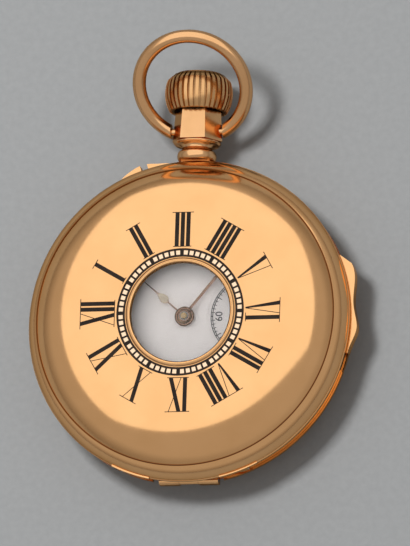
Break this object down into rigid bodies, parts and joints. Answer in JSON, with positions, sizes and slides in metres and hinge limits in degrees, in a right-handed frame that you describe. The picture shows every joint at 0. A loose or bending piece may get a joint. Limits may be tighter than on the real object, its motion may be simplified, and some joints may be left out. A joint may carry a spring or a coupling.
{
  "type": "half hunter pocket watch",
  "caption": "Rose-coloured half hunter pocket watch with a glazed hinged lid, enamel hour ring, winding crown and bow, sprung repeating slide and a full movement under the dial.",
  "frame": {"origin": "middle of the flat on the back cover, on which the watch lies", "axes": "+Z out of the dial through the lid, +Y out of the pendant, +X towards the VI on the dial"},
  "size_m": [0.0553, 0.0746, 0.0174],
  "materials": {
    "case_gold": "polished rose-coloured gold",
    "lid_gold": "polished rose-coloured gold, lightly brushed on the flat",
    "pendant_gold": "polished rose-coloured gold",
    "crown_gold": "polished rose-coloured gold",
    "steel": "fine brushed steel",
    "blued_steel": "blued steel",
    "glass": "clear crystal",
    "numeral_enamel": "black fired enamel",
    "ring_enamel": "black fired enamel",
    "dial_enamel": "white fired enamel",
    "dial_print": "black print",
    "gilt_plate": "frosted gilt",
    "ruby": "polished red stone",
    "wheel_brass": "gilt brass",
    "hand_gold": "polished rose-coloured gold"
  },
  "bodies": {
    "case": {"case_middle": "case_gold", "pendant_neck": "pendant_gold", "pendant_sleeve": "steel", "lid_hinge_pin": "steel", "back_hinge_pin": "steel", "cuvette_hinge_pin": "steel", "lid_catch_spring": "steel", "lid_lift_spring": "steel", "bezel_ring": "case_gold", "dial_crystal": "glass", "main_plate": "gilt_plate", "barrel_bridge": "gilt_plate", "train_bridge": "gilt_plate", "balance_cock": "gilt_plate", "pallet_cock": "gilt_plate", "dial": "dial_enamel", "dial_printing": "dial_print", "bridge_screws": "steel", "case_screws": "steel", "jewels": "ruby", "click_spring": "steel", "hairspring": "blued_steel", "regulator": "steel", "gong_wires": "blued_steel", "gong_block": "steel"},
    "lid": {"half_hunter_lid": "lid_gold", "lid_glass": "glass", "lid_glass_retainer": "steel", "hour_numerals": "numeral_enamel", "minute_ring": "ring_enamel"},
    "back": {"back_cover": "case_gold"},
    "dust_cover": {"cuvette": "case_gold"},
    "bow_ring": {"bow": "pendant_gold"},
    "press": {"press_collar": "steel"},
    "winder": {"crown": "crown_gold", "winding_stem": "steel", "winding_pinion": "steel"},
    "crown_wheel_body": {"crown_wheel": "steel"},
    "ratchet_body": {"ratchet_wheel": "steel", "barrel_arbor": "steel"},
    "click_body": {"click": "steel"},
    "pusher": {"nail_set_pusher": "crown_gold"},
    "slide_body": {"repeater_slide": "case_gold", "repeater_rack": "steel"},
    "hour_striker": {"hour_hammer": "steel"},
    "quarter_striker": {"quarter_hammer": "steel"},
    "barrel": {"barrel_drum": "wheel_brass", "mainspring": "steel"},
    "centre": {"centre_wheel": "wheel_brass", "cannon_pinion": "steel", "minute_hand": "hand_gold"},
    "third": {"third_wheel": "wheel_brass"},
    "fourth": {"fourth_wheel": "wheel_brass", "seconds_hand": "hand_gold"},
    "escape": {"escape_wheel": "steel"},
    "fork": {"pallet_fork": "steel"},
    "balance": {"balance_wheel": "wheel_brass"},
    "minute_work": {"minute_wheel": "wheel_brass"},
    "hour_work": {"hour_wheel": "wheel_brass", "hour_hand": "hand_gold"}
  },
  "joints": [
    {"name": "lid_hinge", "type": "hinge", "parent": "case", "child": "lid", "pos_m": [0, -0.0248, 0.0078], "axis": [1, 0, 0], "range_deg": [0, 88]},
    {"name": "back_hinge", "type": "hinge", "parent": "case", "child": "back", "pos_m": [0, -0.0262, 0.0049], "axis": [-1, 0, 0], "range_deg": [0, 88]},
    {"name": "cuvette_hinge", "type": "hinge", "parent": "case", "child": "dust_cover", "pos_m": [0, -0.0237, 0.00405], "axis": [-1, 0, 0], "range_deg": [0, 70.4]},
    {"name": "bow_pivot", "type": "hinge", "parent": "case", "child": "bow_ring", "pos_m": [0, 0.03245, 0.00675], "axis": [1, 0, 0], "range_deg": [-149, 85]},
    {"name": "crown_press", "type": "slide", "parent": "case", "child": "press", "axis": [0, -1, 0], "range_m": [0, 0.0008], "stiffness_N_per_m": 1200},
    {"name": "crown_winding", "type": "hinge", "parent": "press", "child": "winder", "pos_m": [0, 0.0389, 0.00675], "axis": [0, 1, 0], "continuous": true},
    {"name": "crown_wheel_turn", "type": "hinge", "parent": "case", "child": "crown_wheel_body", "pos_m": [0, 0.00795, 0.0047], "axis": [0, 0, 1], "continuous": true},
    {"name": "ratchet_turn", "type": "hinge", "parent": "case", "child": "ratchet_body", "pos_m": [-0.00913, 0.00245, 0.0047], "axis": [0, 0, 1], "continuous": true},
    {"name": "click_rock", "type": "hinge", "parent": "case", "child": "click_body", "pos_m": [-0.01427, -0.00518, 0.0047], "axis": [0, 0, 1], "range_deg": [0, 6], "stiffness_Nm_per_rad": 0.000001},
    {"name": "nail_set_press", "type": "slide", "parent": "case", "child": "pusher", "axis": [0.3123, -0.95, 0], "range_m": [0, 0.0005], "stiffness_N_per_m": 200},
    {"name": "repeater_pull", "type": "hinge", "parent": "case", "child": "slide_body", "pos_m": [0, 0, 0.00675], "axis": [0, 0, 1], "range_deg": [-24, 0], "stiffness_Nm_per_rad": 0.01},
    {"name": "hour_hammer_lift", "type": "hinge", "parent": "case", "child": "hour_striker", "pos_m": [-0.0145, -0.00906, 0.0065], "axis": [0, 0, 1], "range_deg": [-4, 10], "stiffness_Nm_per_rad": 0.00002},
    {"name": "quarter_hammer_lift", "type": "hinge", "parent": "case", "child": "quarter_striker", "pos_m": [-0.01069, -0.0123, 0.0075], "axis": [0, 0, 1], "range_deg": [-4, 10], "stiffness_Nm_per_rad": 0.00002},
    {"name": "seconds_turn", "type": "hinge", "parent": "case", "child": "fourth", "pos_m": [0.011, 0, 0.00745], "axis": [0, 0, 1], "continuous": true},
    {"name": "third_turn", "type": "hinge", "parent": "case", "child": "third", "pos_m": [0.00638, 0.00499, 0.00675], "axis": [0, 0, 1], "continuous": true},
    {"name": "centre_turn", "type": "hinge", "parent": "case", "child": "centre", "pos_m": [0, 0, 0.0061], "axis": [0, 0, 1], "continuous": true},
    {"name": "barrel_turn", "type": "hinge", "parent": "case", "child": "barrel", "pos_m": [-0.00913, 0.00245, 0.0074], "axis": [0, 0, 1], "continuous": true},
    {"name": "escape_turn", "type": "hinge", "parent": "case", "child": "escape", "pos_m": [0.01408, -0.00533, 0.00635], "axis": [0, 0, 1], "continuous": true},
    {"name": "minute_wheel_turn", "type": "hinge", "parent": "case", "child": "minute_work", "pos_m": [0, -0.0036, 0.01], "axis": [0, 0, 1], "continuous": true},
    {"name": "hour_turn", "type": "hinge", "parent": "case", "child": "hour_work", "pos_m": [0, 0, 0.0103], "axis": [0, 0, 1], "continuous": true},
    {"name": "fork_rock", "type": "hinge", "parent": "case", "child": "fork", "pos_m": [0.01081, -0.00812, 0.00635], "axis": [0, 0, 1], "range_deg": [-5, 5]},
    {"name": "balance_swing", "type": "hinge", "parent": "case", "child": "balance", "pos_m": [0.0045, -0.0135, 0.00735], "axis": [0, 0, 1], "range_deg": [-150, 150], "stiffness_Nm_per_rad": 0.000005}
  ],
  "couplings": [
    {"joint": "cuvette_hinge", "follows": "back_hinge", "ratio": 0.8},
    {"joint": "crown_wheel_turn", "follows": "crown_winding", "ratio": 0.58333},
    {"joint": "ratchet_turn", "follows": "crown_winding", "ratio": -0.37333},
    {"joint": "third_turn", "follows": "seconds_turn", "ratio": -0.13333},
    {"joint": "centre_turn", "follows": "seconds_turn", "ratio": 0.016667},
    {"joint": "barrel_turn", "follows": "seconds_turn", "ratio": -0.0020833},
    {"joint": "escape_turn", "follows": "seconds_turn", "ratio": -10},
    {"joint": "minute_wheel_turn", "follows": "seconds_turn", "ratio": -0.0055556},
    {"joint": "hour_turn", "follows": "seconds_turn", "ratio": 0.0013889}
  ]
}
